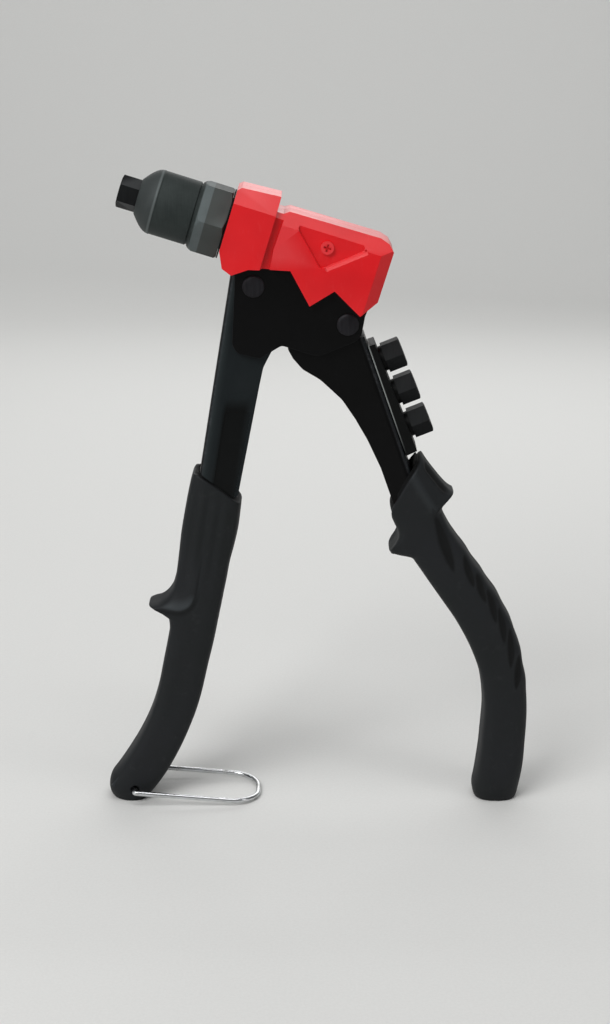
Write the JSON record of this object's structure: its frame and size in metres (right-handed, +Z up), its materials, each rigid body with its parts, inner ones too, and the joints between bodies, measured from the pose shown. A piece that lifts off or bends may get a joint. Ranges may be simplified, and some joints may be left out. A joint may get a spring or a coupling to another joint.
{
  "type": "blind riveting pliers",
  "caption": "Long-arm hand pliers for blind rivets: a black arm and lever with rubber grips work a jaw puller in a red head; spare nosepieces on the lever, wire bail below.",
  "frame": {"origin": "centre of the mouth of the fitted nosepiece, on the pulling axis", "axes": "+Z up from the handle ends to the head, +X from the nosepiece to the back of the head, +Y across the tool; stands on the two level handle ends at z -0.2724"},
  "size_m": [0.1879, 0.034, 0.2808],
  "materials": {
    "dark_steel": "dark machined, slightly oiled",
    "sleeve_steel": "grey machined, satin",
    "bright_steel": "bright machined",
    "spring_wire": "drawn wire",
    "black_steel": "satin black over pressed sheet",
    "rivet_steel": "blued heads",
    "red_plastic": "smooth moulded red",
    "black_plastic": "smooth dark",
    "grip_rubber": "matte, softly grained",
    "bail_wire": "bright plated wire"
  },
  "bodies": {
    "frame": {"nosepiece": "dark_steel", "nose_sleeve": "sleeve_steel", "nose_ring": "black_plastic", "barrel": "dark_steel", "cheek_near": "black_steel", "cheek_far": "black_steel", "front_arm": "black_steel", "arm_rivet": "rivet_steel", "pivot_pin": "rivet_steel", "pivot_clip": "rivet_steel", "pivot_washers": "bright_steel", "pivot_bush": "bright_steel", "opening_spring": "spring_wire", "housing_near": "red_plastic", "housing_far": "red_plastic", "housing_screws": "rivet_steel", "front_grip": "grip_rubber"},
    "lever": {"rear_lever": "black_steel", "rear_grip": "grip_rubber", "nosepiece_rail": "black_plastic", "spare_nosepiece_a": "dark_steel", "spare_nosepiece_b": "dark_steel", "spare_nosepiece_c": "dark_steel"},
    "puller": {"puller": "bright_steel", "puller_pins": "bright_steel", "jaw_case": "bright_steel", "jaw_spring": "spring_wire"},
    "pusher": {"jaw_pusher": "bright_steel"},
    "jaw_top": {"jaw_top": "bright_steel"},
    "jaw_near": {"jaw_near": "bright_steel"},
    "jaw_far": {"jaw_far": "bright_steel"},
    "bail": {"lock_bail": "bail_wire"}
  },
  "joints": [
    {"name": "lever_pivot", "type": "hinge", "parent": "frame", "child": "lever", "pos_m": [0.09466, 0, -0.05389], "axis": [0, 1, 0], "range_deg": [0, 33], "stiffness_Nm_per_rad": 0.5, "springref_deg": -68.75, "deforming": ["opening_spring"]},
    {"name": "puller_slide", "type": "slide", "parent": "frame", "child": "puller", "axis": [0.9548, 0, -0.2974], "range_m": [0, 0.0125]},
    {"name": "pusher_slide", "type": "slide", "parent": "puller", "child": "pusher", "axis": [-0.9548, 0, 0.2974], "range_m": [0, 0.0019], "deforming": ["jaw_spring"]},
    {"name": "jaw_top_slide", "type": "slide", "parent": "puller", "child": "jaw_top", "axis": [-0.9957, 0, 0.0924], "range_m": [0, 0.00247]},
    {"name": "jaw_near_slide", "type": "slide", "parent": "puller", "child": "jaw_near", "axis": [-0.903, 0.1801, 0.3901], "range_m": [0, 0.00247]},
    {"name": "jaw_far_slide", "type": "slide", "parent": "puller", "child": "jaw_far", "axis": [-0.903, -0.1801, 0.3901], "range_m": [0, 0.00247]},
    {"name": "bail_swing", "type": "hinge", "parent": "frame", "child": "bail", "pos_m": [0.00031, 0, -0.2663], "axis": [0, 1, 0], "range_deg": [-55, 220]}
  ],
  "couplings": [
    {"joint": "puller_slide", "follows": "lever_pivot", "m_per_rad": 0.0215},
    {"joint": "pusher_slide", "follows": "lever_pivot", "m_per_rad": 0.003281},
    {"joint": "jaw_top_slide", "follows": "lever_pivot", "m_per_rad": 0.00426},
    {"joint": "jaw_near_slide", "follows": "lever_pivot", "m_per_rad": 0.00426},
    {"joint": "jaw_far_slide", "follows": "lever_pivot", "m_per_rad": 0.00426},
    {"joint": "bail_swing", "follows": "lever_pivot", "ratio": 2}
  ]
}
